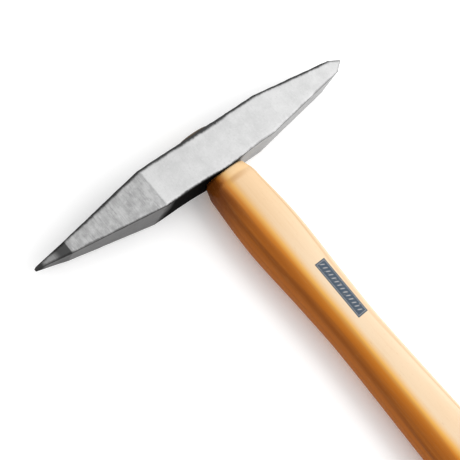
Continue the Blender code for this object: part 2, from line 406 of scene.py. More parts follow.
def baked(source, name):
    """Turns an object and its modifiers into one plain mesh object."""
    graph = bpy.context.evaluated_depsgraph_get()
    mesh = bpy.data.meshes.new_from_object(source.evaluated_get(graph))
    mesh.name = name
    bpy.data.objects.remove(source)
    return add_object(name, mesh)


def spine_object(name, rows):
    mesh = bpy.data.meshes.new(name)
    edges = [(k, k + 1) for k in range(len(rows) - 1)]
    mesh.from_pydata([(0, height, MIDDLE) for height, _, _ in rows], edges, [])
    widths = [half_x for _, half_x, _ in rows]
    flatness = [half_z / half_x for _, half_x, half_z in rows]
    for attribute, values in (("half_width", widths), ("flatness", flatness)):
        mesh.attributes.new(attribute, "FLOAT", "POINT").data.foreach_set("value", values)
    return add_object(name, mesh)


def swept(name, rows, finish=None):
    """An oval swept along Y through rows of height, half width and half thickness."""
    spine = spine_object(f"{name}_spine", rows)
    modifier = spine.modifiers.new("sweep", "NODES")
    modifier.node_group = sweep_tree
    values = {"Oval Points": OVAL_POINTS, "Middle Height": MIDDLE, "Finish": finish}
    for socket in sweep_tree.interface.items_tree:
        if socket.in_out == "INPUT" and socket.name in values:
            modifier[socket.identifier] = values[socket.name]
    made = baked(spine, name)
    welded(made.data)
    return made


def welded(mesh):
    """Closes the caps and turns every face outwards."""
    shape = bmesh.new()
    shape.from_mesh(mesh)
    bmesh.ops.remove_doubles(shape, verts=shape.verts, dist=SAME_POINT)
    bmesh.ops.recalc_face_normals(shape, faces=shape.faces)
    shape.to_mesh(mesh)
    shape.free()


def cut(target, *cutters, operation="DIFFERENCE"):
    """Takes cutters out of a piece for good, or keeps what is in them, and removes them."""
    name = target.name
    for cutter in cutters:
        modifier = target.modifiers.new(cutter.name, "BOOLEAN")
        modifier.operation = operation
        modifier.solver = "EXACT"
        modifier.object = cutter
    target.name = f"{name}_uncut"
    made = baked(target, name)
    for cutter in cutters:
        bpy.data.objects.remove(cutter)
    return made


print("ready to sweep and cut")

# %% [markdown]
# ## Varnished wood
#
# The handle is a pale hardwood with its layers lying flat in the hammer's plane. Where a layer is cut
# across, on the narrow sides, its edge shows as a line along the handle, while the broad faces cut along
# the layers and look almost plain. So the ring pattern only needs the height above the middle plane,
# pushed about by slow noise that is stretched along the handle. The point's side is painted browner,
# partly as the heart of the tree and partly as painted shade on the flank that faces away from the lamps.

# %% Noise and colours in object space


def new_finish(name):
    """An empty material, and the positions on the object that its patterns are drawn with."""
    material = bpy.data.materials.new(name)
    material.use_nodes = True
    material.node_tree.nodes.clear()
    return material, Wire(material.node_tree).node("ShaderNodeTexCoord", out="Object")


def principled(place, inputs):
    return place.node("ShaderNodeBsdfPrincipled", {}, inputs)


def finished(material, shader):
    """Gives the material its surface."""
    shader.node("ShaderNodeOutputMaterial", {}, {"Surface": shader})
    return material


def noisy(place, lengths, detail=2.0, roughness=0.5):
    """Noise from 0 to 1 whose blotches have these lengths along X, Y and Z."""
    factors = tuple(1 / length for length in lengths)
    counted = place.node("ShaderNodeMapping", {}, {"Vector": place, "Scale": factors})
    inputs = {"Vector": counted, "Scale": 1.0, "Detail": detail, "Roughness": roughness}
    return place.node("ShaderNodeTexNoise", {}, inputs)


def tint(red, green, blue):
    """A fixed linear colour."""
    return red, green, blue, 1


def grey(value):
    return tint(value, value, value)


def bumped(height, depth):
    """A normal for a height from 0 to 1 that stands for this many metres."""
    return height.node("ShaderNodeBump", {}, {"Height": height * depth, "Distance": 1.0, "Strength": 1.0})


print("noise, colours and bumps are ready")

# %% [markdown]
# The print on the real handle is a small slate-blue patch. Here it is a plain band with a pale inner line
# and slanted bars, which says nothing. It is a mask on object coordinates and not a piece, because ink
# has no thickness that a hand would feel.

# %% The printed band
BAND_MIDDLE_X = 2.8 * MM
BAND_MIDDLE_Y = -82.0 * MM
BAND_HALF_WIDTH = 3.25 * MM
BAND_HALF_LENGTH = 14.5 * MM
BAND_SOFTNESS = 0.12 * MM
BAND_LINE_INSET = 0.7 * MM
BAND_LINE_WIDTH = 0.12 * MM
BAR_PITCH = 1.9 * MM
BAR_SHARE = 0.26
BAR_SOFTNESS = 0.05
BAR_HALF_REACH = 1.1 * MM
BAR_SLANT = 0.45
WORN_SPOTS = (0.4 * MM, 0.9 * MM, 0.4 * MM)
SLATE = tint(0.050, 0.074, 0.104)
PALE_INK = tint(0.34, 0.34, 0.35)


def slanted_bars(across, along, outside_by):
    slanted = (along + (across - BAND_MIDDLE_X) * BAR_SLANT) / BAR_PITCH
    stripe = abs(slanted.maths("FRACT") - 0.5)
    bars = stripe.fall(BAR_SHARE / 2 - BAR_SOFTNESS, BAR_SHARE / 2 + BAR_SOFTNESS)
    bars = bars * abs(across - BAND_MIDDLE_X).fall(BAR_HALF_REACH - BAND_SOFTNESS, BAR_HALF_REACH)
    return bars * outside_by.fall(-2 * BAND_LINE_INSET, -1.6 * BAND_LINE_INSET)


def printed(wood, place):
    """The wood with the band printed on its upper side."""
    across, along, up = place.axes()
    from_side = abs(across - BAND_MIDDLE_X) - BAND_HALF_WIDTH
    from_end = abs(along - BAND_MIDDLE_Y) - BAND_HALF_LENGTH
    outside_by = from_side.maths("MAXIMUM", from_end)
    ink = outside_by.fall(-BAND_SOFTNESS, BAND_SOFTNESS) * up.rise(MIDDLE, MIDDLE + 1 * MM)
    line = abs(outside_by + BAND_LINE_INSET).fall(BAND_LINE_WIDTH / 2, BAND_LINE_WIDTH)
    pale = line.maths("MAXIMUM", slanted_bars(across, along, outside_by))
    worn = noisy(place, WORN_SPOTS, detail=3.0).rise(0.62, 0.72)
    return wood.blend(pale.between(SLATE, PALE_INK), ink * (1 - worn * 0.5))


print("band", 2 * BAND_HALF_LENGTH / MM, "by", 2 * BAND_HALF_WIDTH / MM, "mm")

# %% [markdown]
# Next come the wood's rules. A layer fades in slowly and ends abruptly, as summer wood does. The
# heart side runs from brown through orange to pale, straight along the neck half of the handle and wider
# towards the butt. Its brown is partly heartwood and partly painted shade on the flank away from the
# lamps.

# %% Layers and the shaded heart side
LAYER = 2.3 * MM
LAYER_SWAY = 5.0 * MM
LAYER_DRIFT = 1.2 * MM
SWAY_LENGTHS = (30 * MM, 160 * MM, 22 * MM)
DRIFT_LENGTHS = (6 * MM, 60 * MM, 3 * MM)
SHADED_HEART_SIDE = (-11.0 * MM, -2.0 * MM)
SHADED_HEART_SWAY = 3 * MM
SHADED_HEART_LENGTHS = (25 * MM, 60 * MM, 25 * MM)
BEVEL_SHIFT = -1.0 * MM
SWELL_START = -150 * MM
SWELL_SWAY = 9 * MM
SWELL_WIDER = (3 * MM, 8 * MM)
HEART_AND_SHADE_STOPS = [
    (0.0, tint(0.365, 0.102, 0.007)),
    (0.1, tint(0.46, 0.134, 0.007)),
    (0.3, tint(0.58, 0.188, 0.009)),
    (0.62, tint(0.79, 0.420, 0.090)),
    (1.0, tint(0.785, 0.61, 0.42)),
]


def grain_layers(place):
    """0 in the pale early wood of a layer, 1 in its dark late wood."""
    _, _, up = place.axes()
    sway = noisy(place, SWAY_LENGTHS, detail=1.0)
    drift = noisy(place, DRIFT_LENGTHS, detail=2.0)
    layer = ((up + sway * LAYER_SWAY + drift * LAYER_DRIFT) / LAYER).maths("FRACT")
    return layer.rise(0.25, 0.85) * layer.fall(0.88, 1.0)


def shaded_heart_to_lit_sap(place):
    """0 on the heart side of the handle, where painted shade lies too, 1 on the pale lit side."""
    across, along, _ = place.axes()
    wander = noisy(place, SHADED_HEART_LENGTHS, detail=1.0)
    bevel = along.rise(BEVEL_START - 0.8 * MM, BEVEL_START + 1.2 * MM)
    swell = along.fall(BUTT, SWELL_START)
    shift = (wander - 0.5) * (SHADED_HEART_SWAY + swell * SWELL_SWAY) + bevel * BEVEL_SHIFT
    low = SHADED_HEART_SIDE[0] - swell * SWELL_WIDER[0]
    high = SHADED_HEART_SIDE[1] + swell * SWELL_WIDER[1]
    return (across + shift).rise(low, high)


print(len(HEART_AND_SHADE_STOPS), "tones from heart to sap")

# %% [markdown]
# On those tones lie a long dark streak along the heart side, the edges of the layers on the far narrow
# side, and everywhere the fine fibres and short flecks of a hardwood. The heart side of the neck also
# darkens just under the head, as painted shade from the head.

# %% Marks along the handle
NECK = (-90 * MM, -15 * MM)
NECK_SHADE_REACH = (-42 * MM, -14 * MM)
STREAK_PLACE = 4.3 * MM
STREAK_HEIGHT = 0.8 * MM
STREAK_WANDER = 5 * MM
STREAK_RIPPLE = 1.5 * MM
WANDER_LENGTHS = (40 * MM, 45 * MM, 40 * MM)
WOOD_CLOUD = (14 * MM, 70 * MM, 14 * MM)
CUT_LAYERS = (4 * MM, 11 * MM)
NECK_GOLD = tint(0.70, 0.43, 0.19)
CLOUD_TAN = tint(0.66, 0.40, 0.19)
LATE_WOOD = tint(0.18, 0.050, 0.008)
NECK_PAINTED_SHADE = tint(0.10, 0.020, 0.002)
STREAK_BROWN = tint(0.15, 0.036, 0.004)
LAYER_EDGE = tint(0.50, 0.27, 0.11)
FLECK_BROWN = tint(0.46, 0.22, 0.07)
FIBRE_BROWN = tint(0.52, 0.28, 0.10)


def long_streak(place, cloud):
    _, _, up = place.axes()
    wander = noisy(place, WANDER_LENGTHS, detail=1.0)
    pushed = (wander - 0.5) * STREAK_WANDER + (cloud - 0.5) * STREAK_RIPPLE
    off_streak = abs(up - MIDDLE - STREAK_PLACE + pushed)
    return off_streak.fall(0.2 * STREAK_HEIGHT, 1.8 * STREAK_HEIGHT)


def long_wood(place, layers, fibre, fleck):
    """The handle's colour, with painted shade on its heart side, and how near each point is to the sap
    side.
    """
    across, along, _ = place.axes()
    cloud = noisy(place, WOOD_CLOUD, detail=2.0)
    lit_sapward = shaded_heart_to_lit_sap(place)
    shaded_heartward = 1 - lit_sapward
    # Heart tones: partly heartwood, partly painted shade on the flank away from the lamps.
    wood = lit_sapward.node("ShaderNodeValToRGB", {"stops": HEART_AND_SHADE_STOPS}, {"Fac": lit_sapward})
    wood = wood.blend(NECK_GOLD, along.rise(*NECK) * lit_sapward * 0.45)
    wood = wood.blend(CLOUD_TAN, (cloud.rise(0.35, 0.75) + layers) * lit_sapward * 0.16)
    wood = wood.blend(LATE_WOOD, layers * shaded_heartward * 0.25)
    # Painted shade: the heart side of the neck darkens towards the head, which shades it.
    wood = wood.blend(NECK_PAINTED_SHADE, along.rise(*NECK_SHADE_REACH) * shaded_heartward.rise(0.8, 1.0) * 0.75)
    wood = wood.blend(STREAK_BROWN, long_streak(place, cloud) * shaded_heartward.rise(0.4, 1.0) * 0.5)
    wood = wood.blend(LAYER_EDGE, across.rise(*CUT_LAYERS) * layers * 0.45)
    wood = wood.blend(FLECK_BROWN, fleck * 0.18)
    return wood.blend(FIBRE_BROWN, fibre.rise(0.45, 0.85) * 0.16), lit_sapward


print("one streak", STREAK_PLACE / MM, "mm above the middle")

# %% [markdown]
# The two ends differ. Under the shoulder the bevel is painted lighter, as a painted highlight where it
# faces the lamps, and a painted shade runs along the ridge below it. The butt and the sawn tenon show
# end grain, which soaks up varnish and oil. On the tenon it is painted near black: partly dark end
# grain, partly painted shade.

# %% Bevel and end grain
FACET_HIGHLIGHT_REACH = (-8 * MM, -3 * MM)
RIDGE_SHADE_REACH = (-4 * MM, 9 * MM)
BUTT_GRAIN = (0.5 * MM, 3.5 * MM)
END_RINGS = (7 * MM, 60 * MM, 0.7 * MM)
FACET_PAINTED_HIGHLIGHT = tint(0.95, 0.64, 0.32)
RIDGE_PAINTED_SHADE = tint(0.52, 0.24, 0.055)
BUTT_BROWN = tint(0.40, 0.20, 0.07)
SAWN_DARK_AND_SHADE = tint(0.022, 0.013, 0.008)
SAWN_PALE_AND_SHADE = tint(0.075, 0.042, 0.020)


def with_ends(wood, place, lit_sapward):
    """The wood with its bevel, its butt and its sawn tenon."""
    across, along, _ = place.axes()
    # Painted highlight on the bevel facet, and painted shade along the ridge under it.
    facet_highlight = along.rise(BEVEL_START - 0.3 * MM, BEVEL_START + 0.9 * MM) * across.rise(*FACET_HIGHLIGHT_REACH)
    wood = wood.blend(FACET_PAINTED_HIGHLIGHT, facet_highlight * 0.5)
    ridge_shade = abs(along - BEVEL_START + 0.6 * MM).fall(0.3 * MM, 2.2 * MM) * across.fall(*RIDGE_SHADE_REACH)
    wood = wood.blend(RIDGE_PAINTED_SHADE, ridge_shade * lit_sapward * 0.5)
    rings = noisy(place, END_RINGS, detail=2.0).rise(0.4, 0.65)
    butt_end = along.fall(BUTT + BUTT_GRAIN[0], BUTT + BUTT_GRAIN[1])
    wood = wood.blend(BUTT_BROWN, butt_end * (0.35 + rings * 0.4))
    # The tenon's sawn end is near black: partly dark end grain, partly painted shade.
    shaded_tenon_end = along.rise(TOP - 2 * MM, TOP)
    return wood.blend((rings * 0.7).between(SAWN_DARK_AND_SHADE, SAWN_PALE_AND_SHADE), shaded_tenon_end * 0.95)


print("end grain on the butt and on the tenon")

# %% [markdown]
# The varnish is a clear coat over the wood: a low roughness on the coat, set once for the whole handle,
# and a duller wood under it that changes with the grain.

# %% Wood under varnish
FIBRE = (0.5 * MM, 18 * MM, 0.5 * MM)
FLECK = (0.35 * MM, 2.6 * MM, 0.35 * MM)
GRAIN_DEPTH = 0.02 * MM
VARNISH = {"Coat Weight": 0.2, "Coat Roughness": 0.16, "Coat IOR": 1.5, "Specular IOR Level": 0.05}


def make_varnished_wood():
    material, place = new_finish("varnished hardwood")
    layers = grain_layers(place)
    fibre = noisy(place, FIBRE, detail=3.0, roughness=0.6)
    fleck = noisy(place, FLECK, detail=1.0).rise(0.66, 0.76)
    wood, lit_sapward = long_wood(place, layers, fibre, fleck)
    wood = printed(with_ends(wood, place, lit_sapward), place)
    normal = bumped(fibre * 0.6 + layers * 0.4, GRAIN_DEPTH)
    dull = 0.42 + fibre * 0.16 + fleck * 0.1
    wood_inputs = {"Base Color": wood, "Roughness": dull, "Normal": normal, "Metallic": 0.0}
    return finished(material, principled(place, {**wood_inputs, **VARNISH}))


varnished_wood = make_varnished_wood()
print("varnished wood has", len(varnished_wood.node_tree.nodes), "nodes")

# %% [markdown]
# ## The handle
#
# Now the rule, the sweep and the finish come together. The wedges sit in slots, so copies of the CAD
# wedges, a hair larger, are taken out of the tenon. Edges sharper than 35 degrees are marked, which keeps
# the shoulder and the slots crisp and everything else smooth.

# %% Make the handle and its slots
SHARP = math.radians(35)
SAME_CORNER = 0.01 * MM
FLAT_ANGLE = math.radians(1)

wedge_slots = {"wood_wedge": "bare_wood", "steel_wedge_1": "wedge_steel", "steel_wedge_2": "wedge_steel"}


def wedge_copy(node, name, growth=0.0):
    """A merged copy of a CAD wedge, grown all round by a little."""
    made = add_object(name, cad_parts[node].data.copy())
    made.data.materials.clear()
    shape = bmesh.new()
    shape.from_mesh(made.data)
    bmesh.ops.remove_doubles(shape, verts=shape.verts, dist=SAME_CORNER)
    bmesh.ops.dissolve_limit(shape, angle_limit=FLAT_ANGLE, verts=shape.verts, edges=shape.edges)
    for corner in shape.verts:
        corner.co += corner.normal * growth
    shape.to_mesh(made.data)
    shape.free()
    return made


def make_handle():
    blank = swept("handle_finish", handle_rows, varnished_wood)
    slots = [wedge_copy(node, f"{node}_slot", growth=2 * HAIRLINE) for node in wedge_slots]
    made = cut(blank, *slots)
    made.data.set_sharp_from_angle(angle=SHARP)
    return made


handle = make_handle()
print("handle:", len(handle.data.polygons), "faces")

# %% [markdown]
# ## Steel: forged, then ground
# The head is drop forged, which leaves a dark scale, and then its two side faces and its ends are ground
# bright. The shader needs to know how far a point is from the long edges, where scale is left and where a
# painted dark reflection lies on their rounded corners. That depends on the head's own outline, so it is
# worked out in Python and stored on the mesh: `rim` is the distance in millimetres from the top or the
# underside, `side` is the distance from the nearer side face, and `under` is 1 on the half of the head
# that is nearer the underside.

# %% The steel's masks
DARK_EDGE_TOP = (0.85, 2.05)
DARK_EDGE_UNDER = (0.20, 1.00)
EDGE_NIBBLE = 0.9
EDGE_WAVE = 1.3
NIBBLE_LENGTHS = (1.4 * MM, 1.4 * MM, 1.4 * MM)
WAVE_LENGTHS = (9 * MM, 9 * MM, 9 * MM)
POINT_SLIMS = (-92 * MM, -66 * MM)
POINT_SLIMMER = 0.8
TENON_SHADE_REACH = (6 * MM, 16 * MM)
TENON_SHADE_WIDER = 0.4
POINT_GRIND = -81.5 * MM
TAPER_START = -37.0 * MM
CHISEL_CLEAN = (CHISEL_END - 10 * MM, CHISEL_END - 4 * MM)
SHADOW_PATCH_START = (-37.5 * MM, -31.0 * MM)
SHADOW_PATCH_END = (-2.0 * MM, 9.0 * MM)
SHADOW_PATCH_WAVE = 6 * MM


def stored(place, attribute):
    return place.node("ShaderNodeAttribute", {"attribute_name": attribute}, out="Fac")


def edge_scale_and_shade(place, wave):
    """Dark long edges: scale, partly a painted dark reflection, and painted shade by the tenon."""
    across = place.axes()[0]
    under = stored(place, "under")
    from_edge = stored(place, "rim").maths("MAXIMUM", stored(place, "side"))
    nibble = noisy(place, NIBBLE_LENGTHS, detail=3.0, roughness=0.6)
    wobbled = from_edge + (nibble - 0.5) * EDGE_NIBBLE + (wave - 0.5) * EDGE_WAVE
    # Painted shade: the dark band on the top widens beside the tenon, where the head's top is shaded.
    above = wobbled + across.fall(*POINT_SLIMS) * POINT_SLIMMER - abs(across).fall(*TENON_SHADE_REACH) * TENON_SHADE_WIDER
    on_top = above.fall(*DARK_EDGE_TOP) * (1 - under) * (1 - across.rise(*CHISEL_CLEAN) * 0.5)
    on_under = wobbled.fall(*DARK_EDGE_UNDER) * under * (1 - across.rise(0, 12 * MM) * 0.45)
    on_under = on_under * (1 - across.fall(TAPER_START - 6 * MM, TAPER_START) * 0.25)
    return on_top.maths("MAXIMUM", on_under)


def scale_and_shadow_patch(place, wave):
    """The underside beside the handle on the point's side: scale, and a painted shadow of the handle."""
    patch_place = place.axes()[0] + (wave - 0.5) * SHADOW_PATCH_WAVE
    scale_and_shadow = patch_place.rise(*SHADOW_PATCH_START) * patch_place.fall(*SHADOW_PATCH_END)
    return scale_and_shadow * stored(place, "under") * (stored(place, "side") - stored(place, "rim")).rise(0.3, 1.0)


print("scale is left within", DARK_EDGE_TOP[1], "mm of the upper edges")

# %% [markdown]
# Grinding leaves fine parallel marks across the bar. They are noise stretched along Y: less than half a
# millimetre wide and a centimetre long, and deeper on the point's taper than on the body, which is
# finished on a finer wheel.

# %% Ground faces
MARKS = (0.45 * MM, 6 * MM, 3 * MM)
BROAD_MARKS = (3.2 * MM, 5 * MM, 5 * MM)
BLOTCH = (1.1 * MM, 1.8 * MM, 1.5 * MM)
SPECKLE = (0.7 * MM, 0.8 * MM, 0.7 * MM)
CLOUD = (9 * MM, 7 * MM, 9 * MM)
POLISHED = (TAPER_START + 2 * MM, TAPER_START + 9 * MM)


def body_steel(place, marks, blotch, cloud):
    """The bright steel of the body, brightest just past the taper."""
    speckle = noisy(place, SPECKLE, detail=2.0, roughness=0.7)
    steel = cloud.rise(0.3, 0.7).between(grey(0.43), grey(0.49))
    steel = steel.blend(grey(0.36), marks.rise(0.5, 0.8) * 0.2)
    steel = steel.blend(grey(0.54), blotch.rise(0.5, 0.75) * 0.45)
    steel = steel.blend(grey(0.54), place.axes()[0].fall(*POLISHED) * 0.45)
    return steel.blend(grey(0.33), speckle.rise(0.52, 0.72) * 0.3)


def taper_steel(marks, blotch, broad):
    """The coarser steel of the point's taper."""
    steel = broad.rise(0.3, 0.7).between(grey(0.35), grey(0.49))
    steel = steel.blend(grey(0.24), marks.rise(0.45, 0.75) * 0.6)
    return steel.blend(grey(0.60), blotch.rise(0.5, 0.75) * 0.5)


print("grinding marks", MARKS[0] / MM, "mm wide")

# %% [markdown]
# The top and the underside were never ground. They keep the mottled grey of the forge, drawn out along
# the bar. The underside is near black on the point's side of the handle, partly scale and partly a
# painted shadow of the handle, and lighter past it. The very point is ground again: the heat has
# darkened it where it meets the taper, and it is lighter beyond that.

# %% Forged faces and the ground tip
DRAWN = (13 * MM, 1.1 * MM, 1.3 * MM)
PAST_HANDLE_SHADOW = (6 * MM, 12 * MM)
TIP_BAND = (POINT_GRIND - 8 * MM, POINT_GRIND - 4 * MM)


def forged_faces(place, cloud, taper):
    # Painted shadow of the handle, over scale: the underside is near black on the point's side of it.
    underside_and_shadow = place.axes()[0].rise(*PAST_HANDLE_SHADOW).between(grey(0.02), grey(0.34))
    underside_and_shadow = underside_and_shadow.blend(grey(0.14), taper)
    on_top = cloud.rise(0.4, 0.6).between(grey(0.13), grey(0.24))
    drawn = noisy(place, DRAWN, detail=3.0, roughness=0.6)
    forged = on_top.blend(underside_and_shadow, stored(place, "under"))
    return forged.blend(grey(0.07), drawn.rise(0.48, 0.7) * 0.45)


def tip_steel(place, marks, raw):
    band = place.axes()[0].rise(*TIP_BAND)
    steel = band.between(grey(0.28), grey(0.07))
    steel = steel.blend(grey(0.38), marks.rise(0.45, 0.75) * (1 - band) * 0.5)
    return steel.blend(grey(0.08), raw * 0.9)


print("the tip is ground again for", round((POINT_GRIND - POINT_END) / MM, 1), "mm")

# %% [markdown]
# Scale is not metal but a crust of oxide, so it is a second shader that is dull and has no metallic part.
# The mask mixes the two. The same dull crust also carries the handle's painted shadow on the underside,
# and the painted dark reflection and shade along the long edges.
# The mask mixes the two.

# %% Ground and scaled steel
MARK_DEPTH = 0.03 * MM
GRIT = (0.5 * MM, 0.5 * MM, 0.5 * MM)
RAGGED = (2 * MM, 2 * MM, 2 * MM)
RAGGED_REACH = 1.2 * MM


def make_steel():
    material, place = new_finish("forged and ground steel")
    across = place.axes()[0]
    marks = noisy(place, MARKS, detail=3.0, roughness=0.65)
    broad = noisy(place, BROAD_MARKS, detail=3.0, roughness=0.65)
    blotch = noisy(place, BLOTCH, detail=3.0, roughness=0.7)
    cloud = noisy(place, CLOUD, detail=4.0, roughness=0.6)
    grit = noisy(place, GRIT, detail=2.0)
    wave = noisy(place, WAVE_LENGTHS, detail=2.0)

    raw = (stored(place, "side") - stored(place, "rim")).rise(-0.35, 0.35)
    ragged = across + (noisy(place, RAGGED, detail=2.0) - 0.5) * RAGGED_REACH
    taper = ragged.fall(TAPER_START - 0.5 * MM, TAPER_START + 0.5 * MM)
    tip = across.fall(POINT_GRIND - 0.25 * MM, POINT_GRIND + 0.25 * MM)
    steel = body_steel(place, marks, blotch, cloud).blend(taper_steel(marks, blotch, broad), taper)
    steel = steel.blend(forged_faces(place, cloud, taper), raw)
    steel = steel.blend(tip_steel(place, marks, raw), tip)

    scale_and_shadow = scale_and_shadow_patch(place, wave)
    tip_end = across.fall(POINT_END + 2.0 * MM, POINT_END + 4.5 * MM)
    crust_and_painted_shade = (edge_scale_and_shade(place, wave) * 0.9).maths("MAXIMUM", scale_and_shadow).maths("MAXIMUM", tip_end * 0.9)
    relief = marks * 0.5 + grit * 0.15 + broad * taper * 0.35 + crust_and_painted_shade * grit * 0.6
    normal = bumped(relief, MARK_DEPTH)
    rough = 0.42 + marks * 0.12 + taper * 0.05
    metal = {"Base Color": steel, "Metallic": 0.85, "Roughness": rough, "Normal": normal}
    # Inside the patch the crust is near black: a painted shadow of the handle over the scale.
    crust_grey = grit.rise(0.5, 0.8).between(grey(0.012), grey(0.05)).blend(grey(0.0008), scale_and_shadow)
    crust = {"Base Color": crust_grey, "Metallic": 0.0, "Roughness": 0.8, "Normal": normal}
    shaders = [principled(place, metal), principled(place, {**crust, "Specular IOR Level": 0.02})]
    both = crust_and_painted_shade.node("ShaderNodeMixShader", {}, {0: crust_and_painted_shade, 1: shaders[0], 2: shaders[1]})
    return finished(material, both)


forged_steel = make_steel()
print("steel has", len(forged_steel.node_tree.nodes), "nodes")

# %% [markdown]
# ## The head
#
# A forging with flat sides, tapers and rounded long edges is easiest as a loft: many rings of the same
# number of points, each a rectangle with rounded corners. Every place where an outline bends gets a ring
# of its own, so the kinks stay crisp, and the rings between them carry the small unevenness of a forged
# edge: the radius of its corners wanders, and the faces that were never ground are a little hollow here
# and there. All of it goes inwards, so the head stays in its CAD size.

# %% Rings of the head
RING_SPACING = 0.6 * MM
EDGE_RADIUS = 1.2 * MM
UNDER_EDGE_RADIUS = 0.7 * MM
EDGE_SHARE = 0.4
ARC_STEPS = 6
FLAT_STEPS = 14
DENT_DEPTH = 0.16 * MM
DENT_LENGTH = 9 * MM
DENT_MARGIN = 2 * MM
DENT_START = 0.2
DENT_OFFSET = Vector((3.1, 0, 0))
FINE_SHARE = 0.3
RADIUS_SWING = 0.45
SWING_LENGTH = 4 * MM
CORNERS_APART = 7.3
OFF_LATTICE = 0.5


def head_stations():
    """Places of the rings: every bend of the outlines, and even steps between them."""
    bends = sorted({*top_line[0], *under_line[0], *side_line[0]})
    places = []
    for start, end in zip(bends, bends[1:]):
        steps = max(1, round((end - start) / RING_SPACING))
        places += [start + (end - start) * k / steps for k in range(steps)]
    return [*places, bends[-1]]


def corner_arc(corner, centre_y, centre_z, radius):
    """One rounded corner of a ring: the quarter turn of this number, from 0 to 3."""
    points = []
    for k in range(ARC_STEPS + 1):
        turn = math.pi / 2 * (corner + k / ARC_STEPS)
        points.append((centre_y + radius * math.sin(turn), centre_z + radius * math.cos(turn)))
    return points


def head_ring(place):
    """A rectangle with rounded corners at one place along the bar, as (y, z) points."""
    top = np.interp(place, *top_line)
    under = -np.interp(place, *under_line)
    half = np.interp(place, *side_line)
    most = EDGE_SHARE * min(half, (top - under) / 2)
    ring = []
    for corner, (up, out) in enumerate(((1, 1), (1, -1), (-1, -1), (-1, 1))):
        swing = noise.noise(Vector((place / SWING_LENGTH, corner * CORNERS_APART, OFF_LATTICE)))
        plain = EDGE_RADIUS if up > 0 else UNDER_EDGE_RADIUS
        radius = min(plain * (1 + RADIUS_SWING * swing), most)
        edge = top if up > 0 else under
        arc = corner_arc(corner, edge - up * radius, MIDDLE + out * (half - radius), radius)
        if ring:
            ring += straight_run(ring[-1], arc[0])
        ring += arc
    return ring + straight_run(ring[-1], ring[0])


def straight_run(start, end):
    """Points between two corners, the corners themselves left out."""
    shares = [k / FLAT_STEPS for k in range(1, FLAT_STEPS)]
    return [tuple(a + (b - a) * share for a, b in zip(start, end)) for share in shares]


head_rings = [(place, head_ring(place)) for place in head_stations()]
print(len(head_rings), "rings of", len(head_rings[0][1]), "points")

# %% [markdown]
# The rings are joined face by face in bmesh, and the unground faces are pressed in a little afterwards.
# Then the eye is cut with the same oval sweep as the handle, so tenon and eye can't differ.

# %% Loft the head and cut its eye
EYE_OVERRUN = 2 * MM


def loft(name, rings):
    shape = bmesh.new()
    loops = [[shape.verts.new((place, y, z)) for y, z in ring] for place, ring in rings]
    count = len(loops[0])
    for near, far in zip(loops, loops[1:]):
        for k in range(count):
            after = (k + 1) % count
            shape.faces.new((near[k], near[after], far[after], far[k]))
    shape.faces.new(loops[0])
    shape.faces.new(loops[-1])
    bmesh.ops.recalc_face_normals(shape, faces=shape.faces)
    mesh = bpy.data.meshes.new(name)
    shape.to_mesh(mesh)
    shape.free()
    return mesh


def dent(mesh):
    """Presses the top and the underside in by a little, most between their edges."""
    for point in mesh.vertices:
        place = point.co
        inside = np.interp(place.x, *side_line) - abs(place.z - MIDDLE)
        share = min(max(inside / DENT_MARGIN - DENT_START, 0), 1)
        swell = 0.5 + 0.5 * noise.noise(place / DENT_LENGTH + DENT_OFFSET)
        fine = 0.5 + 0.5 * noise.noise(place / (DENT_LENGTH / 4))
        depth = share * DENT_DEPTH * ((1 - FINE_SHARE) * swell + FINE_SHARE * fine)
        place.y -= math.copysign(depth, place.y)


def store_distances(mesh):
    """Stores each point's distance from the faces around it, in millimetres."""
    points = np.array([point.co for point in mesh.vertices])
    across, height, up = points.T
    from_top = np.interp(across, *top_line) - height
    from_under = height + np.interp(across, *under_line)
    from_side = np.interp(across, *side_line) - np.abs(up - MIDDLE)
    values = {
        "rim": np.minimum(from_top, from_under) / MM,
        "side": from_side / MM,
        "under": (from_under < from_top).astype(float),
    }
    for name, value in values.items():
        mesh.attributes.new(name, "FLOAT", "POINT").data.foreach_set("value", value)


def make_head():
    mesh = loft("head_uncut", head_rings)
    dent(mesh)
    mesh.materials.append(forged_steel)
    blank = add_object("hammer_head_finish", mesh)
    eye = swept("eye_cutter", tenon_rows(0, UNDERSIDE - EYE_OVERRUN, TOP + EYE_OVERRUN))
    made = cut(blank, eye)
    made.data.shade_smooth()
    made.data.set_sharp_from_angle(angle=SHARP)
    store_distances(made.data)
    return made


head = make_head()
print("head:", len(head.data.polygons), "faces")

# %% [markdown]
# ## Wedges
#
# A wooden wedge fills the saw kerf of the tenon, and two steel ones are driven across it. Their shapes
# are right in CAD, so they are copied, cut off level with the tenon's crown and given small broken edges.
# Their finishes are those of sawn wood and of steel that a hammer has struck.

# %% Finishes of the wedges
SAWN_FIBRE = (0.4 * MM, 6 * MM, 0.4 * MM)
PORES = (0.25 * MM, 1.0 * MM, 0.25 * MM)
FIBRE_DEPTH = 0.06 * MM
CUT_PALE = tint(0.55, 0.36, 0.19)
CUT_BROWN = tint(0.36, 0.21, 0.10)
PORE_BROWN = tint(0.16, 0.09, 0.05)
BLOWS = (1.2 * MM, 3 * MM, 1.2 * MM)
STRUCK_GRIT = (0.3 * MM, 0.3 * MM, 0.3 * MM)
BLOW_DEPTH = 0.12 * MM
STRUCK_DARK = tint(0.30, 0.30, 0.31)
STRUCK_BRIGHT = tint(0.55, 0.55, 0.56)


